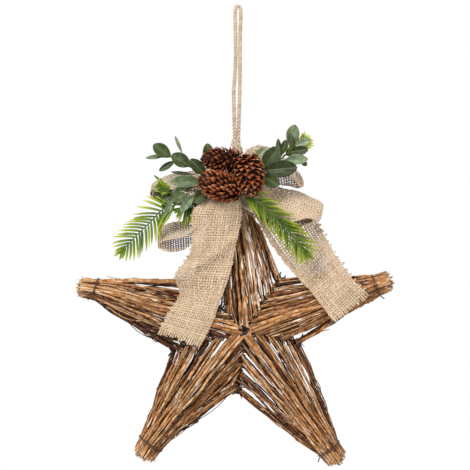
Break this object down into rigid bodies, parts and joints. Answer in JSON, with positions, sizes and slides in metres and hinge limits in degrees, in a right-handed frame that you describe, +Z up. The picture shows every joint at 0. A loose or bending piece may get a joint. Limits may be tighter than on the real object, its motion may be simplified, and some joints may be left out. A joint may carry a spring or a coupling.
{
  "type": "wooden star wall decoration",
  "caption": "Hanging star of bound twigs over a wire frame, with a burlap bow, pine cones and artificial greenery at its top point and a loop of jute twine.",
  "frame": {"origin": "inside top of the hanging loop of twine, where the nail or hook carries it", "axes": "+Z up, the front of the star faces -Y, +X to the right seen from the front"},
  "size_m": [0.3995, 0.1077, 0.5802],
  "materials": {
    "twig_bark": "dry unpeeled twigs, tan to dark brown, with pale peeled patches",
    "frame_wire": "thin black coated steel rod",
    "tie_wire": "dark brown binding wire",
    "burlap": "open plain weave of coarse natural jute yarn",
    "jute": "two-ply twisted natural jute twine",
    "pine_cone": "open cone scales, dark inside with orange-brown edges",
    "leaf": "artificial leaves, dull green with a pale frosted bloom",
    "pine_needle": "artificial needles, bright green with yellow-green tips"
  },
  "bodies": {
    "root": {"top_arm_front_left_twigs": "twig_bark", "top_arm_front_right_twigs": "twig_bark", "top_arm_back_left_twigs": "twig_bark", "top_arm_back_right_twigs": "twig_bark", "right_arm_front_left_twigs": "twig_bark", "right_arm_front_right_twigs": "twig_bark", "right_arm_back_left_twigs": "twig_bark", "right_arm_back_right_twigs": "twig_bark", "lower_right_arm_front_left_twigs": "twig_bark", "lower_right_arm_front_right_twigs": "twig_bark", "lower_right_arm_back_left_twigs": "twig_bark", "lower_right_arm_back_right_twigs": "twig_bark", "lower_left_arm_front_left_twigs": "twig_bark", "lower_left_arm_front_right_twigs": "twig_bark", "lower_left_arm_back_left_twigs": "twig_bark", "lower_left_arm_back_right_twigs": "twig_bark", "left_arm_front_left_twigs": "twig_bark", "left_arm_front_right_twigs": "twig_bark", "left_arm_back_left_twigs": "twig_bark", "left_arm_back_right_twigs": "twig_bark", "top_tip_tie": "tie_wire", "right_tip_tie": "tie_wire", "lower_right_tip_tie": "tie_wire", "lower_left_tip_tie": "tie_wire", "left_tip_tie": "tie_wire", "upper_right_corner_tie": "tie_wire", "right_corner_tie": "tie_wire", "bottom_corner_tie": "tie_wire", "left_corner_tie": "tie_wire", "upper_left_corner_tie": "tie_wire", "wire_frame": "frame_wire", "centre_tie": "tie_wire", "hanging_cord": "jute", "cord_knot": "jute", "burlap_bow": "burlap", "upper_left_cone": "pine_cone", "lower_left_cone": "pine_cone", "right_cone": "pine_cone", "left_leaf_sprig": "leaf", "right_leaf_sprig": "leaf", "left_pine_sprig": "pine_needle", "right_pine_sprig": "pine_needle", "lower_pine_sprig": "pine_needle", "upper_pine_sprig": "pine_needle"}
  },
  "joints": []
}
